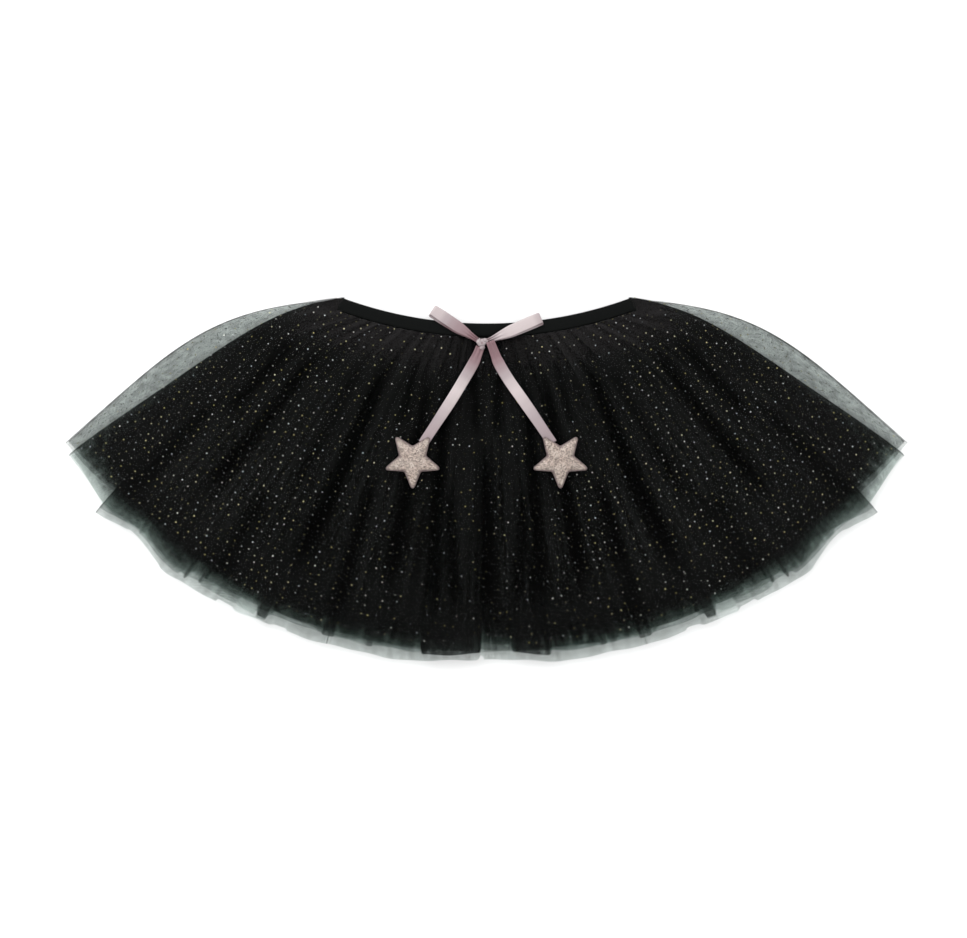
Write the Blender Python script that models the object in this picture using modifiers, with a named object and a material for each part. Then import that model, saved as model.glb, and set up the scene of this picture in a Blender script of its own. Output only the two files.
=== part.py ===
"""A child's tutu skirt laid flat: three gathered net tubes on an elastic waistband, with a ribbon bow and two stars.

The skirt lies on its back, with its waist towards +Y and its hem towards -Y, and +Z is up. Each net tube lies
flattened as a front panel on a back panel, and the two meet along the fold at each side. The panels spread like
a fan, so a point on them is given by its angle from the skirt's middle and its radius from the fan's centre.
The tubes lie in one another, so each front panel rests on the one inside it and comes down at its own side folds.
Metres throughout; angles are in degrees in the tables and radians in the code.
"""

from collections import namedtuple
from math import atan2, copysign, cos, hypot, pi, radians, sin

import bmesh
import bpy
from mathutils import Matrix, Vector
from mathutils.bvhtree import BVHTree

SHARP_EDGE = radians(40)

# The cloth
WALL = 0.0012  # net, thicker than the real 0.2 mm so that it is a solid wall
SEAM_GAP = 0.0003  # between pieces where they are sewn or touch
PLY_GAP = 0.0013  # between the springy net plies away from the seams
PLY_GAP_REACH = 0.080  # how far from the waist seam the plies take to spread to that gap

# The waist, along the top edge of the band
WAIST_RADIUS = 0.234  # at the middle
WAIST_SIDE_RISE = 0.013  # more radius at the band's ends, so the front edge dips in the middle
BAND_HALF_ANGLE = radians(31.0)
BAND_HEIGHT = 0.012
BAND_EDGE_ROUNDING = 0.0011
BAND_CUTS = 31  # along its length, so that it follows the curve
BAND_THICKNESS = 3 * WALL + 2 * SEAM_GAP  # elastic in its casing, as thick as the three plies sewn to it

# The net's upper edge, whose corners wrap the ends of the band
NET_HALF_ANGLE = radians(32.4)
CORNER_SHARE = 0.958  # of the panel's half width, where its upper edge leaves the band's lower edge
CORNER_STEP = 0.961  # of the same width, from which it runs up beside the band's end
CORNER_LIFT = 0.0125

# The net tubes from the outside in. tip: the side fold's angle at the hem. bulge: how fast the fold swings out.
# front, back: the hem's radius in the middle of each panel. side: the hem's radius beyond the angle far, which
# it starts to near at the angle near. fold_height: the ply's own radial folds. ruffle_height and phase: its
# waves at the hem. drop_start: the margin outside the inner tube from which the front comes down to its own
# back at the side.
Tube = namedtuple("Tube", "name tip bulge front back side near far fold_height ruffle_height phase drop_start")
TUBES = (
    Tube("glitter", 47.9, 4.8, 0.527, 0.530, 0.508, 18, 37, 0.0036, 0.0022, 0.0, 0.008),
    Tube("middle_net", 46.8, 3.0, 0.533, 0.530, 0.514, 36, 46.8, 0.0000, 0.0018, 2.0, 0.010),
    Tube("under_net", 41.0, 2.6, 0.537, 0.540, 0.534, 33, 40, 0.0000, 0.0016, 4.2, 0.010),
)

# Where the nets' hems draw in between the middle and the sides
HemDip = namedtuple("HemDip", "angle half_width depth")
HEM_DIPS = (HemDip(0.0, 8.0, 0.0055), HemDip(36.4, 5.0, 0.0085))
BACK_RUFFLE_SHARE = 0.4  # a back panel is pressed flatter than its front, with half as many waves

# The gathers under the waistband, and the ruffles that they open into at the hem
SKIRT_LENGTH = 0.290
GATHERS = 27  # across a front panel
GATHER_HEIGHT = 0.0016
GATHER_START = 0.010
GATHER_END = 0.130
RUFFLES = 13.5  # across a front panel
RUFFLE_START = 0.150
EDGE_SOFTNESS = 0.022  # width over which a front panel's own folds die out towards its side fold
DROP_WIDTH = 0.012  # how much wider the margin is where a front panel comes right down on its back
DROP_MARGIN = 1.25  # the ply is at full height before it meets the inner tube's edge
GATHER_CLEAR = 0.003  # the seam holds the net flat for this far

# The largest folds of the left half, which the right half mirrors. Each is a trough between two angles, from
# one radius to another, with a half width in degrees and a depth from 0 to 1.
Fold = namedtuple("Fold", "top_angle hem_angle top_radius hem_radius half_width depth")
FOLDS = (
    Fold(0.0, 0.0, 0.330, 0.515, 2.0, 0.80),
    Fold(2.2, 1.5, 0.268, 0.340, 1.4, 0.80),
    Fold(5.3, 3.0, 0.370, 0.500, 1.3, 0.70),
    Fold(7.2, 5.4, 0.262, 0.520, 1.5, 0.90),
    Fold(10.2, 10.6, 0.260, 0.500, 1.5, 0.95),
    Fold(13.0, 13.2, 0.262, 0.340, 1.3, 0.60),
    Fold(15.0, 15.3, 0.370, 0.535, 1.4, 0.70),
    Fold(18.0, 20.9, 0.262, 0.505, 1.9, 1.00),
    Fold(22.0, 24.6, 0.275, 0.430, 1.8, 0.45),
    Fold(27.0, 27.6, 0.420, 0.530, 1.9, 0.50),
    Fold(30.0, 33.3, 0.285, 0.475, 1.8, 0.80),
    Fold(34.5, 36.6, 0.290, 0.400, 1.9, 0.70),
    Fold(38.5, 40.0, 0.380, 0.520, 2.0, 0.50),
)
FOLD_END_SHARE = 0.25  # of a fold's length, over which it fades in and out

# The panels' grids: columns across and rows down
FRONT_COLUMNS = {"glitter": 108, "middle_net": 54, "under_net": 54}
FRONT_ROWS = {"glitter": 10, "middle_net": 7, "under_net": 7}
BACK_COLUMNS = 40
BACK_ROWS = 6
ROW_CROWDING = 1.5  # rows crowd towards the waist, where the panel turns most

# The satin ribbon: a bow with a knot, two loops and two tails
RIBBON_WIDTH = 0.010
RIBBON_WALL = 0.001
KNOT = Vector((-0.0036, 0.1208))
KNOT_SIZE = Vector((0.0112, 0.0105, 0.0058))
KNOT_STEPS = 12  # round the wrap
KNOT_RINGS = ((-1.0, 0.70), (-0.8, 0.98), (-0.35, 0.88), (0.0, 1.0), (0.4, 0.90), (0.8, 0.97), (1.0, 0.68))
LOOP_GAP = 0.0016  # between the two plies of a loop
LOOP_ROOT_SHARE = 0.55  # of the ribbon's width, where the knot pinches it
LOOP_PINCH = 0.35  # share of the loop's length over which it widens
Loop = namedtuple("Loop", "side length angle")
LOOPS = (Loop("left", 0.0541, 145.7), Loop("right", 0.0579, 24.5))
LAID_HEIGHT = 0.040  # above the skirt, from which a trim is lowered on to the cloth
EDGE_SHARES = (0.2, 0.4, 0.6, 0.8)  # where the room under a trim is measured along each edge
TAIL_REACH = 0.035  # share of a tail before and behind a point, over which the cloth's ridges hold it up

# Each tail's middle line from the knot to its star, in the skirt's plane
TAIL_POINTS = {
    "left": (
        (-0.0064, 0.1148),
        (-0.0118, 0.1030),
        (-0.0214, 0.0870),
        (-0.0318, 0.0707),
        (-0.0431, 0.0545),
        (-0.0551, 0.0370),
    ),
    "right": (
        (0.0063, 0.1148),
        (0.0110, 0.1030),
        (0.0205, 0.0870),
        (0.0319, 0.0707),
        (0.0431, 0.0545),
        (0.0549, 0.0370),
    ),
}
TAIL_SEGMENTS = 16
LOOP_SEGMENTS = 22

# The padded stars, one point down
STAR_CENTRES = {"left": Vector((-0.0657, 0.0164)), "right": Vector((0.0657, 0.0164))}
STAR_RADIUS = 0.0255
STAR_STEPS = 20  # round the outline: a point, a side, a notch and a side for each of five arms
STAR_CAGE = (1.19, 0.70, 0.53, 0.70)  # how far each of them reaches, past the smoothed form at the points
STAR_THICKNESS = 0.0055
STAR_TILT = radians(-90)
# Rings of the star's cage from the middle of its back, round the seam, to the middle of its front: the share of
# the outline and of the thickness
STAR_RINGS = ((0.55, 0.0), (0.90, 0.02), (1.0, 0.40), (0.86, 0.82), (0.45, 1.0))
STAR_CROWN = 1.04  # height of the star's middle as a share of its thickness

COLOURS = {  # linear base colour, roughness
    "glitter": ((0.010, 0.010, 0.012), 0.75),
    "net": ((0.012, 0.013, 0.013), 0.85),
    "band": ((0.008, 0.009, 0.009), 0.70),
    "ribbon": ((0.60, 0.42, 0.45), 0.35),
    "star": ((0.55, 0.43, 0.38), 0.50),
}


DOWN = Vector((0, 0, -1))


def smooth(share):
    """0 up to 0, 1 from 1 on, and an even swing between."""
    share = min(max(share, 0.0), 1.0)
    return share * share * (3 - 2 * share)


def mix(low, high, share):
    return low + (high - low) * share


def top_radius(angle):
    """Radius of the waistband's top edge."""
    return WAIST_RADIUS + WAIST_SIDE_RISE * (angle / BAND_HALF_ANGLE) ** 2


def hem_radius(tube, panel, across):
    """Radius of a panel's hem, where across runs from -1 to 1 between the side folds."""
    angle = abs(across) * tube.tip
    middle = getattr(tube, panel)
    radius = middle - (middle - tube.side) * smooth((angle - tube.near) / (tube.far - tube.near))
    if tube.name != "glitter":
        for dip in HEM_DIPS:
            radius -= dip.depth * smooth(1 - abs(angle - dip.angle) / dip.half_width)
    return radius


def fold_swing(tube, share):
    """Angle of a tube's side fold at a share of the way down it."""
    return mix(NET_HALF_ANGLE, radians(tube.tip), 1 - (1 - share) ** tube.bulge)


def fold_angle(tube, radius):
    """Angle of a tube's side fold at a radius."""
    return fold_swing(tube, min(max((radius - CORNER_RADIUS) / (tube.side - CORNER_RADIUS), 0.0), 1.0))


def net_top(across):
    """Radius of the net's upper edge, which runs along the waistband and wraps its ends."""
    lift = CORNER_LIFT if abs(across) > (CORNER_SHARE + CORNER_STEP) / 2 else 0.0
    return top_radius(across * NET_HALF_ANGLE) + BAND_HEIGHT + SEAM_GAP - lift


def hem_reach(tube, panel):
    """How far below the fan's centre a panel's hem reaches."""
    steps = [step / 100 for step in range(101)]
    return max(hem_radius(tube, panel, across) * cos(across * radians(tube.tip)) for across in steps)


CORNER_RADIUS = net_top(1)
HEM_REACH = max(hem_reach(tube, panel) for tube in TUBES for panel in ("front", "back"))
FAN_Y = (HEM_REACH + CORNER_RADIUS * cos(NET_HALF_ANGLE)) / 2  # so that the part's box is centred on the origin


def at(angle, radius, height):
    """The point at an angle and radius of the fan."""
    return Vector((radius * sin(angle), FAN_Y - radius * cos(angle), height))


def polar(x, y):
    """The fan angle and radius of a point in the skirt's plane."""
    return atan2(x, FAN_Y - y), hypot(x, FAN_Y - y)


def from_waist(angle, radius):
    """Distance below the waist seam."""
    return max(radius - top_radius(angle) - BAND_HEIGHT - SEAM_GAP, 0.0)


def ply_gap(angle, radius):
    return mix(SEAM_GAP, PLY_GAP, smooth(from_waist(angle, radius) / PLY_GAP_REACH))


def trough(fold, angle, radius):
    """How deep a fold is at a point, from 0 to its depth."""
    along = (radius - fold.top_radius) / (fold.hem_radius - fold.top_radius)
    if not 0 < along < 1:
        return 0.0
    middle = radians(mix(fold.top_angle, fold.hem_angle, along))
    beside = smooth(1 - abs(abs(angle) - middle) / radians(fold.half_width))
    fade = smooth(along / FOLD_END_SHARE) * smooth((1 - along) / FOLD_END_SHARE)
    return fold.depth * beside * fade


def ridge(angle, radius):
    """1 on the broad ridges between the largest folds and near 0 in the deepest of them."""
    return 1 - max(trough(fold, angle, radius) for fold in FOLDS)


def wave(across, count, phase=0.0):
    return 0.5 - 0.5 * cos(pi * count * (across + 1) + phase)


def ruffle(tube, across, depth, count=RUFFLES):
    """Height of a tube's hem ruffles, which grow towards the hem and differ in height from one to the next."""
    growth = smooth((depth - RUFFLE_START) / (SKIRT_LENGTH - RUFFLE_START))
    uneven = 0.70 + 0.30 * sin(7.3 * across + tube.phase)
    return tube.ruffle_height * growth * uneven * wave(across, count, tube.phase)


def gather(across, depth):
    """Height of the small gathers under the waistband."""
    growth = smooth((depth - GATHER_CLEAR) / GATHER_START)
    fading = smooth((GATHER_END - depth) / (GATHER_END - GATHER_START))
    uneven = 0.75 + 0.25 * sin(11.0 * across + 0.8)
    return GATHER_HEIGHT * growth * fading * uneven * wave(across, GATHERS)


def back_height(index, angle, radius):
    """Height of a back panel's underside. The outer tube's lies flat on the floor."""
    if index == 0:
        return 0.0
    tube = TUBES[index]
    across = angle / fold_angle(tube, radius)
    below = back_height(index - 1, angle, radius) + WALL + ply_gap(angle, radius)
    return below + BACK_RUFFLE_SHARE * ruffle(tube, across, from_waist(angle, radius), RUFFLES / 2)


def front_height(index, angle, radius):
    """Height of a front panel's underside, resting on the tube inside it or, at its side folds, on its own back."""
    tube = TUBES[index]
    edge = fold_angle(tube, radius)
    depth = from_waist(angle, radius)
    across = min(max(angle / edge, -1.0), 1.0)
    own_back = back_height(index, angle, radius) + WALL
    if index == len(TUBES) - 1:
        rest = own_back + ply_gap(angle, radius)
    else:
        inner_edge = fold_angle(TUBES[index + 1], radius)
        inner_angle = min(max(angle, -inner_edge), inner_edge)
        rest = front_height(index + 1, inner_angle, radius) + WALL + ply_gap(angle, radius)
        margin = (edge - inner_edge) * radius
        if abs(angle) > inner_edge and margin > 0:
            inwards = smooth(DROP_MARGIN * (edge - abs(angle)) / (edge - inner_edge))
            drop = smooth((margin - tube.drop_start) / DROP_WIDTH) * (1 - inwards)
            rest = mix(rest, own_back + SEAM_GAP, drop)
    flare = smooth(depth / PLY_GAP_REACH) * smooth((edge - abs(angle)) * radius / EDGE_SOFTNESS)
    own = tube.fold_height * ridge(angle, radius) + ruffle(tube, across, depth)
    if index == 0:
        own += gather(across, depth)
    return rest + own * flare


def material(kind):
    name = "cloth_" + kind
    found = bpy.data.materials.get(name)
    if found:
        return found
    made = bpy.data.materials.new(name)
    made.use_nodes = True
    colour, roughness = COLOURS[kind]
    shader = made.node_tree.nodes["Principled BSDF"]
    shader.inputs["Base Color"].default_value = (*colour, 1)
    shader.inputs["Roughness"].default_value = roughness
    shader.inputs["Metallic"].default_value = 0.0
    made.diffuse_color = (*colour, 1)
    return made


def make_object(name, mesh_data, kind):
    mesh = bpy.data.meshes.new(name)
    mesh_data.to_mesh(mesh)
    mesh_data.free()
    mesh.materials.append(material(kind))
    mesh.shade_smooth()
    mesh.set_sharp_from_angle(angle=SHARP_EDGE)
    obj = bpy.data.objects.new(name, mesh)
    tutu.objects.link(obj)
    return obj


def thicken(obj, thickness):
    """Gives a cloth surface its wall, on the side that its normals point to."""
    solidify = obj.modifiers.new("wall", "SOLIDIFY")
    solidify.thickness = thickness
    solidify.offset = 1.0
    solidify.use_even_offset = True
    solidify.use_rim = True
    return obj


def grid(columns, rows, place):
    """A grid whose points place() sets from across, -1 to 1, and down, 0 at the top to 1 at the bottom."""
    mesh_data = bmesh.new()
    bmesh.ops.create_grid(mesh_data, x_segments=columns, y_segments=rows, size=1)
    for vertex in mesh_data.verts:
        vertex.co = place(vertex.co.x, (1 - vertex.co.y) / 2)
    return mesh_data


def net_panel(index, panel):
    """One panel of a net tube, from the waist seam to the hem and from side fold to side fold."""
    tube = TUBES[index]
    height = front_height if panel == "front" else back_height
    columns = FRONT_COLUMNS[tube.name] if panel == "front" else BACK_COLUMNS
    rows = FRONT_ROWS[tube.name] if panel == "front" else BACK_ROWS
    column = 2 / columns

    def place(across, down):
        if abs(across) < 1 - 1.5 * column:  # the last column alone wraps the band's end
            across *= CORNER_SHARE / (1 - 2 * column)
        elif abs(across) < 1 - column / 2:
            across = copysign(CORNER_STEP, across)
        share = down**ROW_CROWDING
        angle = across * fold_swing(tube, share)
        radius = mix(net_top(across), hem_radius(tube, panel, across), share)
        return at(angle, radius, height(index, angle, radius))

    kind = "glitter" if tube.name == "glitter" else "net"
    return thicken(make_object(f"{tube.name}_{panel}", grid(columns, rows, place), kind), WALL)


def waistband(panel):
    """Half of the elastic band's casing, a bent strip with rounded edges."""
    base = 0.0 if panel == "back" else BAND_THICKNESS + SEAM_GAP
    mesh_data = bmesh.new()
    bmesh.ops.create_cube(mesh_data, size=1)
    lengthways = [edge for edge in mesh_data.edges if abs((edge.verts[0].co - edge.verts[1].co).x) > 0.5]
    bmesh.ops.subdivide_edges(mesh_data, edges=lengthways, cuts=BAND_CUTS, use_grid_fill=True)
    for vertex in mesh_data.verts:
        angle = 2 * vertex.co.x * BAND_HALF_ANGLE
        radius = top_radius(angle) + (0.5 - vertex.co.y) * BAND_HEIGHT
        vertex.co = at(angle, radius, base + (vertex.co.z + 0.5) * BAND_THICKNESS)
    obj = make_object(f"waistband_{panel}", mesh_data, "band")
    bevel = obj.modifiers.new("rolled_edge", "BEVEL")
    bevel.width = BAND_EDGE_ROUNDING
    bevel.segments = 1
    bevel.limit_method = "ANGLE"
    bevel.angle_limit = SHARP_EDGE
    return obj


def catmull(points, share):
    """A point on the smooth line through points, share of the way along it."""
    spans = len(points) - 1
    span = min(int(share * spans), spans - 1)
    local = share * spans - span
    p1, p2 = Vector(points[span]), Vector(points[span + 1])
    p0 = Vector(points[span - 1]) if span else 2 * p1 - p2
    p3 = Vector(points[span + 2]) if span + 2 <= spans else 2 * p2 - p1
    return 0.5 * (
        2 * p1
        + (p2 - p0) * local
        + (2 * p0 - 5 * p1 + 4 * p2 - p3) * local**2
        + (3 * p1 - p0 - 3 * p2 + p3) * local**3
    )


def surface(objects):
    """The finished faces of some objects, to measure from, and points all along their edges."""
    corners, faces, along_edges = [], [], []
    depsgraph = bpy.context.evaluated_depsgraph_get()
    for obj in objects:
        finished = obj.evaluated_get(depsgraph)
        mesh = finished.to_mesh()
        faces += [[index + len(corners) for index in face.vertices] for face in mesh.polygons]
        spots = [vertex.co.copy() for vertex in mesh.vertices]
        for edge in mesh.edges:
            start, end = (spots[index] for index in edge.vertices)
            along_edges += [start.lerp(end, share) for share in EDGE_SHARES]
        corners += spots
        finished.to_mesh_clear()
    return BVHTree.FromPolygons(corners, faces), corners + along_edges


def height_over(tree, spot):
    """Height of the cloth over a point of the skirt's plane, or 0 beside the skirt."""
    hit = tree.ray_cast(Vector((spot.x, spot.y, 1.0)), DOWN)[0]
    return hit.z if hit else 0.0


def settle(obj, supports):
    """Lowers a piece until it is a seam's gap above what carries it."""
    below, lower_spots = surface(supports)
    above, upper_spots = surface([obj])
    drops = []
    for spot in upper_spots:
        hit = below.ray_cast(spot, DOWN)[0]
        if hit:
            drops.append(spot.z - hit.z)
    for spot in lower_spots:
        hit = above.ray_cast(spot, -DOWN)[0]
        if hit:
            drops.append(hit.z - spot.z)
    obj.data.transform(Matrix.Translation((0, 0, SEAM_GAP - min(drops))))
    obj.data.update()
    return obj


def ribbon_tail(side):
    """A tail that lies over the skirt's ridges, from the knot to under its star."""
    tree = surface([glitter_front])[0]

    def line(share):
        return catmull(TAIL_POINTS[side], min(max(share, 0.0), 1.0))

    def across_line(share):
        """The ribbon's middle at a share of its line, and half of its width there as a vector."""
        along = line(share + 0.02) - line(share - 0.02)
        return line(share), Vector((-along.y, along.x)).normalized() * RIBBON_WIDTH / 2

    def carried(share):
        """The highest cloth under the ribbon from a little before here to a little behind."""
        heights = []
        for step in (-1.0, -0.5, 0.0, 0.5, 1.0):
            middle, half = across_line(share + step * TAIL_REACH)
            heights += [height_over(tree, middle + half * aside) for aside in (-1.0, -0.5, 0.0, 0.5, 1.0)]
        return max(heights)

    def place(across, down):
        middle, half = across_line(down)
        spot = middle + half * across
        return Vector((spot.x, spot.y, carried(down) + SEAM_GAP))

    tail = make_object(f"ribbon_tail_{side}", grid(2, TAIL_SEGMENTS, place), "ribbon")
    return settle(thicken(tail, RIBBON_WALL), [glitter_front])


def ribbon_loop(loop):
    """A flat loop of ribbon that leaves the knot, turns back at its end and lies on itself."""
    direction = Vector((cos(radians(loop.angle)), sin(radians(loop.angle))))
    beside = Vector((-direction.y, direction.x))
    root_reach = KNOT_SIZE.x / 2 + SEAM_GAP + RIBBON_WIDTH / 2 * LOOP_ROOT_SHARE * abs(direction.y)
    root = root_reach / abs(direction.x)  # so that the root's nearest corner is a seam's gap from the knot
    start = KNOT + direction * root
    turn = (LOOP_GAP + RIBBON_WALL) / 2
    straight = loop.length - root - turn
    path_length = 2 * straight + pi * turn

    def place(across, down):
        gone = down * path_length
        if gone < straight:
            out, up = gone, 0.0
        elif gone < straight + pi * turn:
            swing = (gone - straight) / turn
            out, up = straight + turn * sin(swing), turn * (1 - cos(swing))
        else:
            out, up = path_length - gone, 2 * turn
        width = RIBBON_WIDTH * mix(LOOP_ROOT_SHARE, 1.0, smooth(out / straight / LOOP_PINCH))
        middle = start + direction * out + beside * across * width / 2
        return Vector((middle.x, middle.y, LAID_HEIGHT + up))

    mesh_data = grid(2, LOOP_SEGMENTS, place)
    bmesh.ops.recalc_face_normals(mesh_data, faces=mesh_data.faces)
    loop_object = thicken(make_object(f"bow_loop_{loop.side}", mesh_data, "ribbon"), RIBBON_WALL)
    loop_object.modifiers["wall"].offset = 0.0
    return settle(loop_object, [glitter_front, band_front])


def stack(rings, closed_ends):
    """A closed form through rings of points. Each end is a face, or runs to a point of its own."""
    mesh_data = bmesh.new()
    loops = [[mesh_data.verts.new(point) for point in ring] for ring in rings]
    count = len(loops[0])
    for lower, upper in zip(loops, loops[1:]):
        for step in range(count):
            after = (step + 1) % count
            mesh_data.faces.new((lower[step], lower[after], upper[after], upper[step]))
    for loop, end in zip((loops[0], loops[-1]), closed_ends):
        if end is None:
            mesh_data.faces.new(loop)
            continue
        tip = mesh_data.verts.new(end)
        for step in range(count):
            mesh_data.faces.new((loop[step], loop[(step + 1) % count], tip))
    bmesh.ops.recalc_face_normals(mesh_data, faces=mesh_data.faces)
    return mesh_data


def bow_knot():
    """The ribbon wrapped across the bow's middle, with the creases of its gathered width."""
    rings = []
    for aside, share in KNOT_RINGS:
        ring = []
        for step in range(KNOT_STEPS):
            turn = 2 * pi * step / KNOT_STEPS
            wrap = Vector((aside * KNOT_SIZE.x, share * cos(turn) * KNOT_SIZE.y, share * sin(turn) * KNOT_SIZE.z)) / 2
            ring.append((KNOT.x + wrap.x, KNOT.y + wrap.y, LAID_HEIGHT + wrap.z))
        rings.append(ring)
    knot = make_object("bow_knot", stack(rings, (None, None)), "ribbon")
    return settle(knot, [glitter_front, band_front])


def star(side, tail):
    """A stuffed star with soft points, seamed round its edge, that lies on the skirt and on its tail's end."""
    centre = STAR_CENTRES[side]
    rings = []
    for share, rise in STAR_RINGS:
        ring = []
        for step in range(STAR_STEPS):
            turn = STAR_TILT + 2 * pi * step / STAR_STEPS
            reach = STAR_RADIUS * share * STAR_CAGE[step % len(STAR_CAGE)]
            spot = centre + Vector((cos(turn), sin(turn))) * reach
            ring.append((spot.x, spot.y, LAID_HEIGHT + rise * STAR_THICKNESS))
        rings.append(ring)
    bottom = (centre.x, centre.y, LAID_HEIGHT)
    crown = (centre.x, centre.y, LAID_HEIGHT + STAR_CROWN * STAR_THICKNESS)
    padded = make_object(f"star_{side}", stack(rings, (bottom, crown)), "star")
    padding = padded.modifiers.new("padding", "SUBSURF")
    padding.levels = padding.render_levels = 1
    return settle(padded, [glitter_front, tail])


for old in list(bpy.data.objects):
    bpy.data.objects.remove(old)
tutu = bpy.data.collections.new("tutu_skirt")
bpy.context.scene.collection.children.link(tutu)

for order in range(len(TUBES)):
    net_panel(order, "back")
for order in reversed(range(len(TUBES))):
    glitter_front = net_panel(order, "front")
waistband("back")
band_front = waistband("front")
bow_knot()
for bow_loop in LOOPS:
    ribbon_loop(bow_loop)
for hand in ("left", "right"):
    star(hand, ribbon_tail(hand))
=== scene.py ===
"""The looks of a child's tutu skirt laid flat: black net with gold glitter dots, a satin bow and two stars.

The skirt lies on its back with its waist towards +Y and its front up. A point on a net panel is given by its
angle from the skirt's middle and its radius from the fan's centre, as in the part's source.
Metres throughout; angles are in degrees in the tables and radians in the code.
"""

from collections import namedtuple
from math import copysign, cos, degrees, pi, radians, sin
from random import Random

import bmesh
import bpy
from mathutils import Matrix, Vector
from mathutils.bvhtree import BVHTree


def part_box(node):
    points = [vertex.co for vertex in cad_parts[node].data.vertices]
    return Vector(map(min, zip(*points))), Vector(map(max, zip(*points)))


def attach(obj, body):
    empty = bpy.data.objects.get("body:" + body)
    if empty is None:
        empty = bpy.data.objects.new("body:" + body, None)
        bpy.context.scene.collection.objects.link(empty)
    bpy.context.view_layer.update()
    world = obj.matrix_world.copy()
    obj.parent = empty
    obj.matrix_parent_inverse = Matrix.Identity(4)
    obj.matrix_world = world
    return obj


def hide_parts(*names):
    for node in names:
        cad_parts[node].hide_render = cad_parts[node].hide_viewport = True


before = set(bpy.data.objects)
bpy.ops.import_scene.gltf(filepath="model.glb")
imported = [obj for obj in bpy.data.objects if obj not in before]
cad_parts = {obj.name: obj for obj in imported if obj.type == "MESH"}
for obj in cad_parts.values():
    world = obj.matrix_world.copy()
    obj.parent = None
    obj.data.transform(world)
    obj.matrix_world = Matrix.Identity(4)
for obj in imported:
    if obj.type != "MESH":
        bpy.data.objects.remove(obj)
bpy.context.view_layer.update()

# The solids' sizes, as in the part's source
WALL = 0.0012
SEAM_GAP = 0.0003
PLY_GAP = 0.0013
PLY_GAP_REACH = 0.080
WAIST_RADIUS = 0.234
WAIST_SIDE_RISE = 0.013
BAND_HALF_ANGLE = radians(31.0)
BAND_HEIGHT = 0.012
BAND_THICKNESS = 3 * WALL + 2 * SEAM_GAP
NET_HALF_ANGLE = radians(32.4)
CORNER_SHARE = 0.958
CORNER_STEP = 0.961
CORNER_LIFT = 0.0125
BACK_RUFFLE_SHARE = 0.4
SKIRT_LENGTH = 0.290
GATHERS = 27
GATHER_HEIGHT = 0.0016
GATHER_START = 0.010
GATHER_END = 0.130
GATHER_CLEAR = 0.003
RUFFLES = 13.5
RUFFLE_START = 0.150
EDGE_SOFTNESS = 0.022
DROP_WIDTH = 0.012
DROP_MARGIN = 1.25
FOLD_END_SHARE = 0.25
RIBBON_WIDTH = 0.010
KNOT = Vector((-0.0036, 0.1208))
KNOT_SIZE = Vector((0.0112, 0.0105, 0.0058))
STAR_CENTRES = {"left": Vector((-0.0657, 0.0164)), "right": Vector((0.0657, 0.0164))}
# How the gathers' and the ruffles' height sways across a panel: mean, swing, pace and, for the gathers, phase
GATHER_SWAY = (0.75, 0.25, 11.0, 0.8)
RUFFLE_SWAY = (0.70, 0.30, 7.3)

# Down the net, the step beside the waistband's end spreads over more width: the share of the length that this
# takes, and where the step then starts as a share of the half width
CORNER_EASE = 0.14
CORNER_SPREAD = 0.80

# The net tubes from the outside in, as in the part's source. tip: the side fold's angle at the hem. bulge: how
# fast the fold swings out. front, back: the hem's radius in the middle of each panel. side: its radius beyond
# the angle far, which it starts to near at the angle near. fold_height: the ply's own folds. ruffle_height and
# phase: its waves at the hem. drop_start: the margin from which the front comes down to its own back.
Tube = namedtuple("Tube", "name tip bulge front back side near far fold_height ruffle_height phase drop_start")
TUBES = (
    Tube("glitter", 47.9, 4.8, 0.527, 0.530, 0.508, 18, 37, 0.0036, 0.0022, 0.0, 0.008),
    Tube("middle_net", 46.8, 3.0, 0.533, 0.530, 0.514, 36, 46.8, 0.0000, 0.0018, 2.0, 0.010),
    Tube("under_net", 41.0, 2.6, 0.537, 0.540, 0.534, 33, 40, 0.0000, 0.0016, 4.2, 0.010),
)
# The middle tube's side folds as the photo shows them through the outer net, up to 7 mm from the solids':
# the share of the swing that is done near the waist, and how quick that part and the rest are
MIDDLE_FOLD = (0.5, 8.0, 1.4)
HemDip = namedtuple("HemDip", "angle half_width depth")
HEM_DIPS = (HemDip(0.0, 8.0, 0.0055), HemDip(36.4, 5.0, 0.0085))

# The largest folds of the front's left half, which the right half mirrors
Fold = namedtuple("Fold", "top_angle hem_angle top_radius hem_radius half_width depth")
FOLDS = (
    Fold(0.0, 0.0, 0.330, 0.515, 2.0, 0.80),
    Fold(2.2, 1.5, 0.268, 0.340, 1.4, 0.80),
    Fold(5.3, 3.0, 0.370, 0.500, 1.3, 0.70),
    Fold(7.2, 5.4, 0.262, 0.520, 1.5, 0.90),
    Fold(10.2, 10.6, 0.260, 0.500, 1.5, 0.95),
    Fold(13.0, 13.2, 0.262, 0.340, 1.3, 0.60),
    Fold(15.0, 15.3, 0.370, 0.535, 1.4, 0.70),
    Fold(18.0, 20.9, 0.262, 0.505, 1.9, 1.00),
    Fold(22.0, 24.6, 0.275, 0.430, 1.8, 0.45),
    Fold(27.0, 27.6, 0.420, 0.530, 1.9, 0.50),
    Fold(30.0, 33.3, 0.285, 0.475, 1.8, 0.80),
    Fold(34.5, 36.6, 0.290, 0.400, 1.9, 0.70),
    Fold(38.5, 40.0, 0.380, 0.520, 2.0, 0.50),
)

# The cut of each net panel: half of a tube, as wide as its hem is round, and its length
NET_CUTS = (Vector((0.880, 0.272)), Vector((0.860, 0.276)), Vector((0.768, 0.280)))
NET_ROWS = 56
ROW_CROWDING = 1.1

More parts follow.
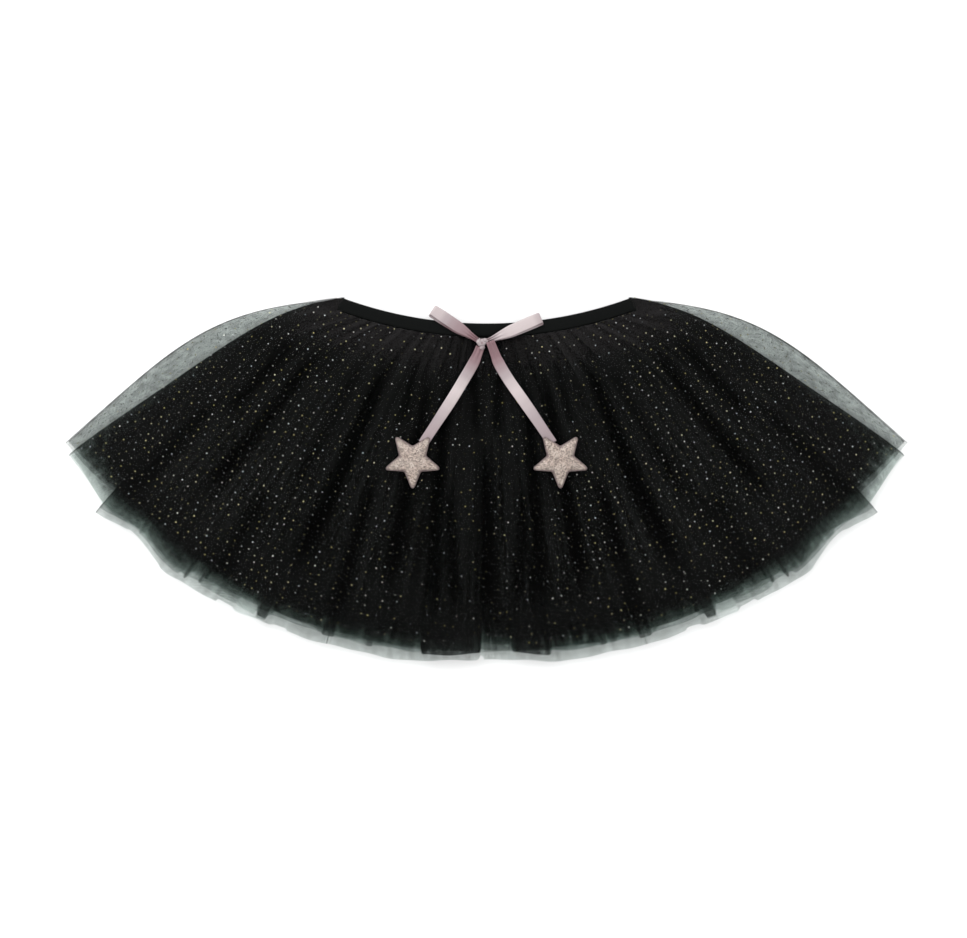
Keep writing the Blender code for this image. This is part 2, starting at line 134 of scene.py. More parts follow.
# A net sheet: its tube, its panel and its columns across. hem_plies, tip_plies, body_plies: how many plies of
# net lie on one another at the hem, at the hem's ends and inside. thickens: how far from the hem the plies get
# there. shorter: how much shorter than the solid it is cut. gathers: under its seam, on each side.
Sheet = namedtuple("Sheet", "index panel columns hem_plies tip_plies body_plies thickens shorter gathers seed")
SHEETS = (
    Sheet(0, "front", 720, 1.9, 2.25, 2.25, 0.012, 0.000, 19, 11),
    Sheet(0, "back", 420, 1.9, 2.25, 2.25, 0.012, 0.002, 9, 12),
    Sheet(1, "front", 720, 1.6, 1.2, 6.0, 0.024, 0.002, 13, 13),
    Sheet(1, "back", 420, 1.6, 1.2, 6.0, 0.024, 0.000, 9, 14),
    Sheet(2, "front", 720, 1.8, 2.5, 5.0, 0.026, 0.006, 11, 15),
    Sheet(2, "back", 420, 2.7, 2.5, 4.0, 0.030, 0.000, 9, 16),
)
TIP_ANGLE = 34.0
TIP_SPREAD = 5.0
# Plies bunched at the waist seam: how far below it they start to spread, and over what width. To the sides the
# bunching ends between two angles, beside the waistband's ends.
SEAM_PLIES = 9.0
SEAM_BUNCHING = (0.012, 0.030)
BUNCHING_ENDS = (34.0, 37.5)
# Plies in the rolled edge of a side fold, and its width
FOLD_PLIES = 7.0
FOLD_ROLL = 0.0009
# More plies of the two inner tubes far inside: the distances from the hem and from a side fold at which they
# start, and the widths over which they come in
DEEP_PLIES = 14.0
DEEP_FROM_HEM = (0.018, 0.030)
DEEP_FROM_FOLD = (0.006, 0.030)

# Pleats, where the net is folded over itself. centre and half_width are shares of the half panel's width, and
# start and end are shares of the way down. Past these two, a pleat runs into the seam or the hem.
Pleat = namedtuple("Pleat", "centre half_width strength start end")
BEFORE_SEAM = -0.5
PAST_HEM = 1.6
HEM_PLEATS = {
    "glitter_front": (
        Pleat(0.130, 0.018, 1.9, 0.55, PAST_HEM),
        Pleat(0.437, 0.022, 2.0, 0.45, PAST_HEM),
        Pleat(0.640, 0.020, 1.5, 0.60, PAST_HEM),
    ),
    "glitter_back": (Pleat(0.25, 0.020, 1.6, 0.40, PAST_HEM),),
    "middle_net_front": (),
    "middle_net_back": (Pleat(0.61, 0.022, 1.8, 0.55, PAST_HEM),),
    "under_net_front": (),
    "under_net_back": (Pleat(0.375, 0.014, 2.0, 0.75, PAST_HEM),),
}
PLEAT_HEIGHT = 0.0009
PLEAT_FADE = 0.35
# Where a pleat's top ply rises and falls, from -1 to 1 across the pleat
PLEAT_RISE = (-0.6, 0.6)
PLEAT_FALL = (0.7, 1.0)
# The gathers under the seam: the share of the half panel that has them, how far each strays and how wide it is
# as shares of its room, how strong it is, and where it ends down the net
GATHERS_REACH = 0.86
GATHER_STRAY = 0.32
GATHER_HALF_WIDTH = (0.28, 0.46)
GATHER_STRENGTH = (1.3, 3.0)
GATHER_STOP = (0.18, 0.62)

# Stretches of a hem, between two angles of the left half, the right half or both, that are folded shorter or
# hang longer, and their plies
Tab = namedtuple("Tab", "half start end shorter plies")
HEM_TABS = {
    "glitter_front": (Tab("right", -0.5, 2.5, 0.007, 1.6),),
    "glitter_back": (),
    "middle_net_front": (
        Tab("right", -0.5, 2.4, 0.008, 1.6),
        Tab("left", 0.6, 6.3, -0.0030, 12.0),
        Tab("right", 2.5, 6.2, -0.0022, 10.0),
        Tab("both", 6.4, 7.3, 0.004, 1.6),
        Tab("both", 11.1, 11.7, -0.001, 5.0),
        Tab("both", 14.9, 16.1, -0.002, 6.0),
        Tab("both", 16.6, 21.3, 0.004, 1.5),
        Tab("both", 21.6, 22.6, -0.004, 6.0),
        Tab("both", 22.8, 24.7, 0.005, 1.9),
        Tab("both", 24.8, 28.7, 0.002, 1.5),
        Tab("both", 28.75, 28.95, -0.001, 6.0),
        Tab("both", 29.1, 30.1, 0.005, 1.6),
        Tab("both", 30.2, 30.45, -0.003, 7.0),
    ),
    "middle_net_back": (
        Tab("right", -0.5, 2.4, 0.004, 1.6),
        Tab("both", 17.0, 21.0, 0.003, 1.6),
        Tab("both", 22.8, 30.1, 0.003, 1.6),
    ),
    "under_net_front": (
        Tab("right", -0.5, 2.4, 0.000, 2.6),
        Tab("both", 21.6, 22.6, -0.006, 3.0),
        Tab("both", 22.8, 24.7, -0.004, 1.0),
        Tab("both", 24.8, 28.7, -0.003, 1.6),
        Tab("both", 31.0, 36.5, -0.003, 2.4),
    ),
    "under_net_back": (
        Tab("left", 0.35, 0.75, 0.0040, 2.0),
        Tab("both", 19.4, 20.9, 0.002, 2.7),
        Tab("both", 22.8, 24.7, 0.000, 1.2),
        Tab("both", 24.8, 26.6, 0.0030, 2.7),
        Tab("both", 29.1, 30.1, 0.000, 1.8),
        Tab("both", 33.0, 37.5, 0.0015, 2.2),
    ),
}
TAB_EDGE = 0.14

# The net's upper edge is crumpled where it wraps the band's ends
CRUMPLE_DEPTH = 0.0012
CRUMPLE_REACH = 0.08
CRUMPLE_SIDES = (0.90, 0.95)
CRUMPLES = 95.0
SHOULDER_DROP = 0.0030
# The cut hem wavers a little: height, pace and turns of phase of each wave, and how fast they end at the sides
SCALLOPS = ((0.0006, 31, 1), (0.0004, 67, 2))
SCALLOP_FADE = 6
PHASE_STEP = 1.7

# The waistband's cross-section, its rounded ends as a share of its half length, its puckers, and how far it
# tucks into the net's corners
BAND_SQUARENESS = 3.2
BAND_END_ROUNDING = 0.006
PUCKERS = 32
PUCKER_DEPTH = 0.08
PUCKER_SWAY = (0.0, 2.1, 9, 0.0)
BAND_TUCK = radians(0.35)

# The middle line of each of the bow's tails in the skirt's plane. The right one is as in the part's source,
# and the left one is up to 3 mm nearer the middle, as the photo shows it. TAIL_STARTS is where the ribbon
# leaves the knot: its place, and its height as a share of the knot's.
TAIL_POINTS = {
    "left": (
        (-0.0064, 0.1148),
        (-0.0118, 0.1030),
        (-0.0210, 0.0870),
        (-0.0308, 0.0707),
        (-0.0413, 0.0545),
        (-0.0528, 0.0370),
    ),
    "right": (
        (0.0063, 0.1148),
        (0.0110, 0.1030),
        (0.0205, 0.0870),
        (0.0319, 0.0707),
        (0.0431, 0.0545),
        (0.0549, 0.0370),
    ),
}
TAIL_STARTS = {"left": Vector((-0.0056, 0.1176, 0.35)), "right": Vector((0.0032, 0.1226, 0.85))}
TAIL_UNDER_STAR = 0.0068
TAIL_STATIONS = 12
TAIL_STRIDE = 0.02
# A tail's width at the knot and behind its star as shares of the ribbon's, and where it opens and narrows
TAIL_AT_KNOT = 0.78
TAIL_OPENED = 0.20
TAIL_AT_STAR = 0.90
TAIL_NARROWS = (0.6, 0.9)
# How a tail rolls from side to side and curls up and down along its length, how much more it rolls at the
# knot, and how far its edges sink into the net
TAIL_ROLL = (0.0, 0.16, 5.2, 0.6)
TAIL_CURL = (0.0, 0.0005, 11, 1.0)
TAIL_ROLL_AT_KNOT = 0.10
TAIL_UNROLLED = 0.25
TAIL_SINK = 0.0006
# The creases that the knot presses into a ribbon: how far they reach, their depth and their pace across it
TAIL_PINCH = (0.22, 0.0006, 2.2)
LOOP_PINCH = (0.40, 0.0009, 2.5)
RIBBON_CROWN = 0.0004
RIBBON_THICKNESS = 0.0003
# How deep the satin's painted shade is at even steps along a tail, from 0 where it turns to the light to 1 at
# the knot
TAIL_TONES = (1.0, 0.97, 0.9, 0.72, 0.5, 0.15, 0.0, 0.13, 0.28, 0.42, 0.52, 0.58, 0.6, 0.6)
# The same painted light and shade along each loop, from the knot to its end
LOOP_TONES = {
    "left": (1.0, 0.97, 0.88, 0.78, 0.68, 0.5, 0.18, 0.15),
    "right": (0.85, 0.45, 0.2, 0.05, 0.0, 0.0, 0.0, 0.35),
}
# Painted shade added on a loop's under ply
LOOP_UNDER_TONE = 0.4
# The loops: length from the knot's middle, and the directions of the front ply and the back ply in degrees
Loop = namedtuple("Loop", "side length angle back_angle")
LOOPS = (Loop("left", 0.0537, 145.9, 148.6), Loop("right", 0.0570, 24.0, 21.7))
# Where a loop leaves the knot as a share of its size, the radius of its turned end, its width at the knot and
# at that end, where it opens and narrows, and how far its two plies puff out
LOOP_ROOT = 0.8
LOOP_TURN = 0.0013
LOOP_AT_KNOT = 0.42
LOOP_OPENED = 0.50
LOOP_AT_END = 0.95
LOOP_NARROWS = (0.8, 1.0)
LOOP_PUFF = 0.0011
LOOP_PUFF_BELOW = -0.1

# The knot's lobes: each one's middle and half sizes as shares of the knot's, its turn, and how deep its
# painted shade is
Lobe = namedtuple("Lobe", "middle half_size turn tight")
KNOT_LOBES = (
    Lobe(Vector((0.05, 0.18, 0.00)), Vector((0.92, 0.60, 0.95)), 24, 0.50),
    Lobe(Vector((-0.60, 0.30, -0.05)), Vector((0.42, 0.56, 0.80)), -20, 0.35),
    Lobe(Vector((-0.05, -0.66, -0.25)), Vector((0.44, 0.50, 0.72)), 20, 0.55),
    Lobe(Vector((0.46, 0.46, 0.10)), Vector((0.46, 0.44, 0.90)), -35, 0.45),
    Lobe(Vector((0.02, 0.05, 0.25)), Vector((0.30, 0.42, 0.75)), 70, 0.75),
)
# A lobe's creases: depth, number round it, drift along it, and step from one lobe to the next
LOBE_CREASES = ((0.11, 3, 2.2, 1.3), (0.05, 7, -4, 0.0))
LOBE_ROUNDNESS = 2.4
LOBE_WAIST = 0.12
LOBE_TWIST = 0.5

# A star: its reach, how deep its notches go as a share of it, how far round a point is softened, how far down
# the grid and how high the seam runs, how its front and back swell, the seam's lip, and its sewn edge,
# darkened as the seam itself and as painted shade where it rounds over
STAR_RADIUS = 0.0249
STAR_NOTCH = 0.455
STAR_SOFTNESS = radians(5.0)
STAR_TAPS = 7
STAR_SEAM_DOWN = 0.56
STAR_SEAM_HEIGHT = 0.40
STAR_FRONT = (2.3, 0.62)
STAR_BACK = (3.0, 0.60)
STAR_LIP = 0.0125
STAR_LIP_REACH = 0.05
STAR_SEWN_WIDTH = 0.0040
STAR_SEWN_TONE = 0.8
STAR_CUT = Vector((0.05, 0.05))

# Glitter dots on the outer net. Towards the middle and the waist more of them are tucked into the gathers.
DOT_SPACING = 0.0076
DOT_ROW_SHARE = 0.9
DOT_SIDE_LIMIT = 0.995
DOT_RADIUS = (0.00045, 0.00061)
DOT_TILT = radians(20)
DOT_SCATTER = 0.18
DOT_HEIGHT = 0.0004
DOT_MARGINS = (0.002, 0.004)
DOTS_SHOWING = (0.52, 0.97)
DOTS_SHOWING_AT_WAIST = 0.60
# How light a dot's colour is painted: a painted glint by chance, with few of them strong, and painted shade
# from the net's folds to its ridges
DOT_GLINTS = (0.15, 1.0)
DOT_GLINT_SKEW = 1.9
DOTS_FOLD_SHADE = (0.16, 0.92)
DOTS_FOLD_SHADE_SKEW = 0.8
DOT_OPENING = 0.120
SIDE_ANGLE = radians(32)
GOLD_FOILS = ("#cdc595", "#bbb37f", "#dad4b0", "#b0a86c")
SILVER_FOILS = ("#d2d5d6", "#bcc4cc", "#dcdbd6")
GOLD_SHARE = 0.55

# The net's painted light and shade: its contrast from the painted shade in its folds to the painted light on
# its ridges, the back's even painted tone, how light the ridges are painted in the middle beside its sides,
# and how much painted shade the gathers put at the waist
RIDGE_CONTRAST = 1.5
BACK_TONE = 0.5
MIDDLE_RIDGE = 0.70
MIDDLE_REACH = 0.16
GATHER_SHADE = 0.5
GATHER_SHADE_REACH = 0.11
# How far painted light takes a ridge from the dark thread's colour to the light one, how much lighter still
# the many plies bunched below the waistband's sides are painted, and what share of that stays in their folds
RIDGE_LIGHT = 0.25
WAIST_LIGHT = 0.42
WAIST_LIGHT_IN_FOLDS = 0.4
WAIST_LIGHT_REACH = 0.055
WAIST_LIGHT_ANGLE = radians(17)

# The share of the light that each further ply of net lets through, and the distances from one thread of the
# net and from one rib of the jersey to the next
PLY_LIGHT = 0.86
NET_PITCH = 0.0013
RIB_PITCH = 0.0008
# Width of a band of the wave texture at a scale of 1
WAVE_BAND = 0.3125

DOWN = Vector((0, 0, -1))


def smooth(share):
    """0 up to 0, 1 from 1 on, and an even swing between."""
    share = min(max(share, 0.0), 1.0)
    return share * share * (3 - 2 * share)


def ramp(value, start, end):
    """An even swing from 0 at start to 1 at end."""
    return smooth((value - start) / (end - start))


def mix(low, high, share):
    return low + (high - low) * share


def sway(place, mean, swing, pace, phase):
    """A value that sways about its mean along a piece."""
    return mean + swing * sin(pace * place + phase)


def top_radius(angle):
    """Radius of the waistband's top edge."""
    return WAIST_RADIUS + WAIST_SIDE_RISE * (angle / BAND_HALF_ANGLE) ** 2


def hem_radius(tube, panel, across):
    """Radius of a solid panel's hem, where across runs from -1 to 1 between the side folds."""
    angle = abs(across) * tube.tip
    middle = getattr(tube, panel)
    radius = middle - (middle - tube.side) * ramp(angle, tube.near, tube.far)
    if tube.name != "glitter":
        for dip in HEM_DIPS:
            radius -= dip.depth * smooth(1 - abs(angle - dip.angle) / dip.half_width)
    return radius


def fold_swing(tube, share):
    """Angle of a tube's side fold at a share of the way down it."""
    swung = 1 - (1 - share) ** tube.bulge
    if tube.name == "middle_net":
        early, quick, slow = MIDDLE_FOLD
        swung = early * (1 - (1 - share) ** quick) + (1 - early) * (1 - (1 - share) ** slow)
    return mix(NET_HALF_ANGLE, radians(tube.tip), swung)


def fold_angle(tube, radius):
    """Angle of a tube's side fold at a radius."""
    return fold_swing(tube, min(max((radius - CORNER_RADIUS) / (tube.side - CORNER_RADIUS), 0.0), 1.0))


def net_top(across, share=0.0):
    """Radius of the net's upper edge, which runs along the waistband and wraps its ends.

    For points further down the net, the step beside the band's end is spread over more of the width.
    """
    spread = smooth(share / CORNER_EASE)
    start, end = mix(CORNER_SHARE, CORNER_SPREAD, spread), mix(CORNER_STEP, 1.0, spread)
    lift = CORNER_LIFT * ramp(abs(across), start, end)
    return top_radius(across * NET_HALF_ANGLE) + BAND_HEIGHT + SEAM_GAP - lift


CORNER_RADIUS = net_top(1)


def hem_reach(tube, panel):
    """How far below the fan's centre a panel's hem reaches."""
    steps = [step / 100 for step in range(101)]
    return max(hem_radius(tube, panel, across) * cos(across * radians(tube.tip)) for across in steps)


HEM_REACH = max(hem_reach(tube, panel) for tube in TUBES for panel in ("front", "back"))
FAN_Y = (HEM_REACH + CORNER_RADIUS * cos(NET_HALF_ANGLE)) / 2


def at(angle, radius, height):
    """The point at an angle and radius of the fan."""
    return Vector((radius * sin(angle), FAN_Y - radius * cos(angle), height))


def from_waist(angle, radius):
    """Distance below the waist seam."""
    return max(radius - top_radius(angle) - BAND_HEIGHT - SEAM_GAP, 0.0)


def ply_gap(angle, radius):
    return mix(SEAM_GAP, PLY_GAP, smooth(from_waist(angle, radius) / PLY_GAP_REACH))


def trough(fold, angle, radius):
    """How deep a fold is at a point, from 0 to its depth."""
    along = (radius - fold.top_radius) / (fold.hem_radius - fold.top_radius)
    if not 0 < along < 1:
        return 0.0
    middle = radians(mix(fold.top_angle, fold.hem_angle, along))
    beside = smooth(1 - abs(abs(angle) - middle) / radians(fold.half_width))
    fade = smooth(along / FOLD_END_SHARE) * smooth((1 - along) / FOLD_END_SHARE)
    return fold.depth * beside * fade


def ridge(angle, radius):
    """1 on the broad ridges between the largest folds and near 0 in the deepest of them."""
    return 1 - max(trough(fold, angle, radius) for fold in FOLDS)


def wave(across, count, phase=0.0):
    return 0.5 - 0.5 * cos(pi * count * (across + 1) + phase)


def ruffle(tube, across, depth, count=RUFFLES):
    """Height of a tube's hem ruffles."""
    growth = ramp(depth, RUFFLE_START, SKIRT_LENGTH)
    uneven = sway(across, *RUFFLE_SWAY, tube.phase)
    return tube.ruffle_height * growth * uneven * wave(across, count, tube.phase)


def gather(across, depth):
    """Height of the small gathers under the waistband."""
    growth = smooth((depth - GATHER_CLEAR) / GATHER_START)
    fading = smooth((GATHER_END - depth) / (GATHER_END - GATHER_START))
    uneven = sway(across, *GATHER_SWAY)
    return GATHER_HEIGHT * growth * fading * uneven * wave(across, GATHERS)


def back_height(index, angle, radius):
    """Height of a back panel's underside."""
    if index == 0:
        return 0.0
    tube = TUBES[index]
    across = angle / fold_angle(tube, radius)
    below = back_height(index - 1, angle, radius) + WALL + ply_gap(angle, radius)
    return below + BACK_RUFFLE_SHARE * ruffle(tube, across, from_waist(angle, radius), RUFFLES / 2)


def front_height(index, angle, radius):
    """Height of a front panel's underside, on the tube inside it or, at its side folds, on its own back."""
    tube = TUBES[index]
    edge = fold_angle(tube, radius)
    depth = from_waist(angle, radius)
    across = min(max(angle / edge, -1.0), 1.0)
    own_back = back_height(index, angle, radius) + WALL
    if index == len(TUBES) - 1:
        rest = own_back + ply_gap(angle, radius)
    else:
        inner_edge = fold_angle(TUBES[index + 1], radius)
        inner_angle = min(max(angle, -inner_edge), inner_edge)
        rest = front_height(index + 1, inner_angle, radius) + WALL + ply_gap(angle, radius)
        margin = (edge - inner_edge) * radius
        if abs(angle) > inner_edge and margin > 0:
            inwards = smooth(DROP_MARGIN * (edge - abs(angle)) / (edge - inner_edge))
            drop = smooth((margin - tube.drop_start) / DROP_WIDTH) * (1 - inwards)
            rest = mix(rest, own_back + SEAM_GAP, drop)
    flare = smooth(depth / PLY_GAP_REACH) * smooth((edge - abs(angle)) * radius / EDGE_SOFTNESS)
    own = tube.fold_height * ridge(angle, radius) + ruffle(tube, across, depth)
    if index == 0:
        own += gather(across, depth)
    return rest + own * flare


def linear(code):
    """An sRGB hex colour as linear light, with full alpha."""
    channels = [int(code[start : start + 2], 16) / 255 for start in (1, 3, 5)]
    return (*(c / 12.92 if c <= 0.04045 else ((c + 0.055) / 1.055) ** 2.4 for c in channels), 1.0)


def add(tree, kind, settings=None, **links):
    """Adds a shader node of a kind, sets its properties or socket values, and links others into its inputs.

    A settings key is a property, an input's name or an input's number as in "#1". A link's key is an input's
    name with _ for a space, or in_0, in_1 for a number. A link comes from a socket, or a node's first one.
    """
    node = tree.nodes.new(f"ShaderNode{kind}")
    for key, value in (settings or {}).items():
        if key.startswith("#"):
            node.inputs[int(key[1:])].default_value = value
        elif key in node.inputs:
            node.inputs[key].default_value = value
        else:
            setattr(node, key, value)
    for key, source in links.items():
        place = int(key[3:]) if key.startswith("in_") else key.replace("_", " ")
        socket = source.outputs[0] if isinstance(source, bpy.types.Node) else source
        tree.links.new(socket, node.inputs[place])
    return node


def new_material(name):
    """An empty material and its node tree."""
    material = bpy.data.materials.new(name)
    material.use_nodes = True
    material.node_tree.nodes.clear()
    return material, material.node_tree


def nylon_tulle(name, tint, thread_code, painted_ridge_light_code):
    """Black nylon tulle: a fine six-sided net that darkens by ply and lets the light floor through."""
    material, tree = new_material(name)
    cloth = add(tree, "UVMap", {"uv_map": "cloth"}).outputs["UV"]
    # Threads in three directions leave the net's six-sided holes
    sets = []
    for turn in (0, 60, 120):
        pace = 2 * pi / NET_PITCH
        across = (pace * cos(radians(turn)), pace * sin(radians(turn)), 0)
        run = add(tree, "VectorMath", {"operation": "DOT_PRODUCT", "#1": across}, in_0=cloth)
        sets.append(add(tree, "Math", {"operation": "SINE"}, in_0=run.outputs["Value"]))
    pair = add(tree, "Math", {"operation": "MAXIMUM"}, in_0=sets[0], in_1=sets[1])
    nearest = add(tree, "Math", {"operation": "MAXIMUM"}, in_0=pair, in_1=sets[2])
    edge = {"interpolation_type": "SMOOTHSTEP", "From Min": 0.960, "From Max": 1.0}
    thread = add(tree, "MapRange", edge, in_0=nearest)
    # Streaks where the small gathers bunch the net, and clouds where its plies slip over one another
    stretch = add(tree, "Mapping", {"Scale": (170, 8, 1)}, Vector=cloth)
    streak = add(tree, "TexNoise", {"Scale": 1.0, "Detail": 2.0}, Vector=stretch)
    grain = {"Scale": 150.0, "Detail": 4.0, "Roughness": 0.65}
    cloud = add(tree, "TexNoise", grain, Vector=cloth)
    both = {"data_type": "FLOAT", "Factor": 0.66}
    uneven = add(tree, "Mix", both, in_2=streak, in_3=cloud)
    spread = {"From Min": 0.3, "From Max": 0.7, "To Min": 0.4, "To Max": 1.6}
    bunching = add(tree, "MapRange", spread, in_0=uneven)
    plies = add(tree, "Attribute", {"attribute_name": "plies"}).outputs["Fac"]
    bunched = add(tree, "Math", {"operation": "MULTIPLY"}, in_0=plies, in_1=bunching)
    behind = add(tree, "Math", {"operation": "SUBTRACT", "#1": 1.0}, in_0=bunched)
    more = add(tree, "Math", {"operation": "MAXIMUM", "#1": 0.0}, in_0=behind)
    through = add(tree, "Math", {"operation": "POWER", "#0": PLY_LIGHT}, in_1=more)
    hole = add(tree, "Math", {"operation": "SUBTRACT", "#0": 1.0}, in_1=thread)
    clear = add(tree, "Math", {"operation": "MULTIPLY"}, in_0=hole, in_1=through)
    # Painted light and shade: the lift, with painted light on the ridges and painted shade in the folds and
    # gathers, and more painted shade in the streaks, takes the dark thread's colour towards the ridges'
    # painted light
    lift = add(tree, "Attribute", {"attribute_name": "lift"}).outputs["Fac"]
    spread = {"From Min": 0.3, "From Max": 0.7, "To Min": 0.55, "To Max": 1.45}
    shade = add(tree, "MapRange", spread, in_0=streak)
    painted_light_and_shade = add(tree, "Math", {"operation": "MULTIPLY"}, in_0=lift, in_1=shade)
    tones = {"data_type": "RGBA", "#6": linear(thread_code), "#7": linear(painted_ridge_light_code)}
    colour = add(tree, "Mix", tones, in_0=painted_light_and_shade).outputs[2]
    matt = {"Roughness": 0.62, "Specular IOR Level": 0.0}
    net = add(tree, "BsdfPrincipled", matt, Base_Color=colour)
    gap = add(tree, "BsdfTransparent", {"Color": tint})
    mixed = add(tree, "MixShader", in_0=clear, in_1=net, in_2=gap)
    add(tree, "OutputMaterial", Surface=mixed)
    return material


def glitter_foil():
    """Foil dots glued to the net, gold for most and silver for some, each with its own brightness painted into
    its colour as painted glint and painted shade.
    """
    material, tree = new_material("glitter_foil")
    tone = add(tree, "Attribute", {"attribute_name": "foil"}).outputs["Color"]
    metal = {"Metallic": 0.85, "Roughness": 0.38}
    foil = add(tree, "BsdfPrincipled", metal, Base_Color=tone)
    add(tree, "OutputMaterial", Surface=foil)
    return material


def satin_ribbon():
    """Polyester satin, woven with long floating warp threads that run along the ribbon and shine across it."""
    material, tree = new_material("satin_ribbon")
    cloth = add(tree, "UVMap", {"uv_map": "cloth"}).outputs["UV"]
    # Bundles of threads 0.3 mm across and 17 mm long, coarser than the real threads so that they show
    threads = add(tree, "Mapping", {"Scale": (3500, 60, 1)}, Vector=cloth)
    float_noise = add(tree, "TexNoise", {"Scale": 1.0, "Detail": 2.0}, Vector=threads)
    # Painted light and shade on the satin: pale where it turns to the light, a deep pink of painted shade
    # towards the knot
    tight = add(tree, "Attribute", {"attribute_name": "tight"}).outputs["Fac"]
    satin_shading_ramp = add(tree, "ValToRGB", in_0=tight)
    pinks = satin_shading_ramp.color_ramp.elements
    pinks[0].color = linear("#bcb0b0")
    pinks[1].color = linear("#7b5c61")
    pinks.new(0.5).color = linear("#9e9193")
    dulled = {"data_type": "RGBA", "blend_type": "MULTIPLY", "#7": linear("#ececec")}
    pink = satin_shading_ramp.outputs["Color"]
    colour = add(tree, "Mix", dulled, in_0=float_noise, in_6=pink).outputs[2]
    bump = add(tree, "Bump", {"Strength": 0.25, "Distance": 0.0002}, Height=float_noise)
    along = add(tree, "Tangent", {"direction_type": "UV_MAP", "uv_map": "cloth"})
    shine = {"Roughness": 0.34, "Anisotropic": 0.6, "Specular IOR Level": 0.6}
    satin = add(tree, "BsdfPrincipled", shine, Base_Color=colour, Normal=bump, Tangent=along)
    add(tree, "OutputMaterial", Surface=satin)
    return material


def glitter_cloth():
    """Cloth faced with champagne glitter flakes, darker along the sewn edge: the seam itself, and painted
    shade where the edge rounds over.
    """
    material, tree = new_material("champagne_glitter_cloth")
    spot = add(tree, "TexCoord").outputs["Object"]
    # Flakes of about 0.8 mm
    cells = add(tree, "TexVoronoi", {"Scale": 1250.0}, Vector=spot)
    flake = add(tree, "SeparateColor", in_0=cells.outputs["Color"])
    tones = {"data_type": "RGBA", "#6": linear("#5b534d"), "#7": linear("#c6bdb3")}
    tone = add(tree, "Mix", tones, in_0=flake).outputs[2]
    clouds = add(tree, "TexNoise", {"Scale": 150.0, "Detail": 2.0}, Vector=spot)
    blush = {"data_type": "RGBA", "blend_type": "MULTIPLY", "#7": linear("#f2e0dc")}
    rosy = add(tree, "Mix", blush, in_0=clouds, in_6=tone).outputs[2]
    seam = add(tree, "Attribute", {"attribute_name": "seam"}).outputs["Fac"]
    seam_and_shade_tone = {"data_type": "RGBA", "#7": linear("#564649")}
    edged = add(tree, "Mix", seam_and_shade_tone, in_0=seam, in_6=rosy).outputs[2]
    relief = {"Strength": 0.5, "Distance": 0.0003}
    bump = add(tree, "Bump", relief, Height=flake.outputs[1])
    gloss = {"Metallic": 0.15, "Roughness": 0.5, "Specular IOR Level": 0.4}
    cloth = add(tree, "BsdfPrincipled", gloss, Base_Color=edged, Normal=bump)
    add(tree, "OutputMaterial", Surface=cloth)
    return material


def black_jersey():
    """Knitted black jersey over elastic, smooth and matt with fine ribs across the band."""
    material, tree = new_material("black_jersey")
    cloth = add(tree, "UVMap", {"uv_map": "cloth"}).outputs["UV"]
    # Knit ribs 0.8 mm apart, coarser than the real 0.4 mm so that they show, and painted darker in their
    # grooves as painted shade
    knit = {"Scale": WAVE_BAND / RIB_PITCH, "Distortion": 1.5, "Detail": 1.0, "Detail Scale": 2.0}
    ribs = add(tree, "TexWave", knit, Vector=cloth).outputs["Fac"]
    tones = {"data_type": "RGBA", "#6": linear("#070808"), "#7": linear("#0f1110")}
    colour = add(tree, "Mix", tones, in_0=ribs).outputs[2]
    bump = add(tree, "Bump", {"Strength": 0.3, "Distance": 0.0002}, Height=ribs)
    matt = {"Roughness": 0.8, "Specular IOR Level": 0.06}
    jersey = add(tree, "BsdfPrincipled", matt, Base_Color=colour, Normal=bump)
    add(tree, "OutputMaterial", Surface=jersey)
    return material


def paper_floor():
    """The pale paper that the skirt is laid out on."""
    material, tree = new_material("pale_paper")
    spot = add(tree, "TexCoord").outputs["Object"]
    grain = add(tree, "TexNoise", {"Scale": 6.0, "Detail": 3.0}, Vector=spot)
    tones = {"data_type": "RGBA", "#6": linear("#f6f6f6"), "#7": linear("#f9f9f9")}
    colour = add(tree, "Mix", tones, in_0=grain).outputs[2]
    matt = {"Roughness": 0.9, "Specular IOR Level": 0.1}
    paper = add(tree, "BsdfPrincipled", matt, Base_Color=colour)
    add(tree, "OutputMaterial", Surface=paper)
    return material


def put_in_scene(name, data):
    """An object that holds a mesh, a light or a camera, in the scene."""
    item = bpy.data.objects.new(name, data)
    bpy.context.scene.collection.objects.link(item)
    return item


def finished_mesh(name, mesh_data, material):
    mesh = bpy.data.meshes.new(name)
    mesh_data.to_mesh(mesh)
    mesh_data.free()
    mesh.materials.append(material)
    return mesh


def make_piece(name, mesh_data, material, slot, *nodes):
    """Turns mesh data into a smooth-shaded piece that rides with the skirt and stands for solids."""
    mesh = finished_mesh(name, mesh_data, material)
    mesh.shade_smooth()
    piece = put_in_scene(name, mesh)
    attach(piece, "root")
    if nodes:
        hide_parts(*nodes)
    return piece


def cloth_grid(columns, rows, place, size, layers=()):
    """A grid of cloth whose points place() sets from across, -1 to 1, and down, 0 to 1.

    place() gives the point and the values of the grid's named layers. The cloth map holds each point's place
    on the flat cut, in metres.
    """
    mesh_data = bmesh.new()
    for name in layers:
        mesh_data.verts.layers.float.new(name)
    flat = mesh_data.loops.layers.uv.new("cloth")
    bmesh.ops.create_grid(mesh_data, x_segments=columns, y_segments=rows, size=1)
    for face in mesh_data.faces:
        for corner in face.loops:
            spot = corner.vert.co
            corner[flat].uv = (spot.x * size.x / 2, (spot.y - 1) * size.y / 2)
    for vertex in mesh_data.verts:
        point, values = place(vertex.co.x, (1 - vertex.co.y) / 2)
        for name in layers:
            vertex[mesh_data.verts.layers.float[name]] = values[name]
        vertex.co = point
    return mesh_data


